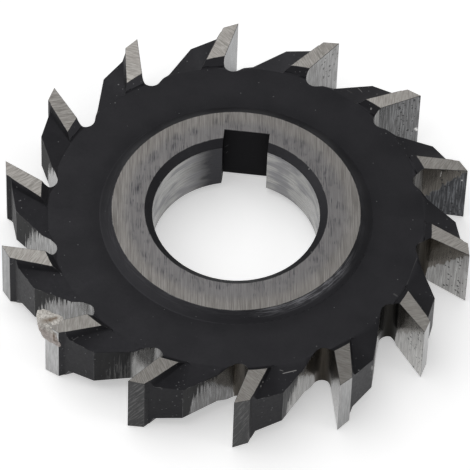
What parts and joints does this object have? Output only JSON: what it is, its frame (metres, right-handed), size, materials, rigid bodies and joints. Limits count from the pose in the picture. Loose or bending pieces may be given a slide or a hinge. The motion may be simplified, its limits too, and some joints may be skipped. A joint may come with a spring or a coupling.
{
  "type": "side and face milling cutter",
  "caption": "Disc-shaped milling cutter with straight teeth on its rim and both sides, a raised hub and a bore with a keyway for driving it on an arbor.",
  "frame": {"origin": "on the bore's axis, in the plane of the lower side tips", "axes": "+Z along the bore's axis, out of the side that the picture shows; +Y from the axis through the middle of the keyway"},
  "size_m": [0.062, 0.0622, 0.01],
  "materials": {
    "tool_steel": "near-black oxide, with the hub faces, bore, rake faces, gullets and narrow lands ground bright"
  },
  "bodies": {
    "root": {"cutter": "tool_steel"}
  },
  "joints": []
}
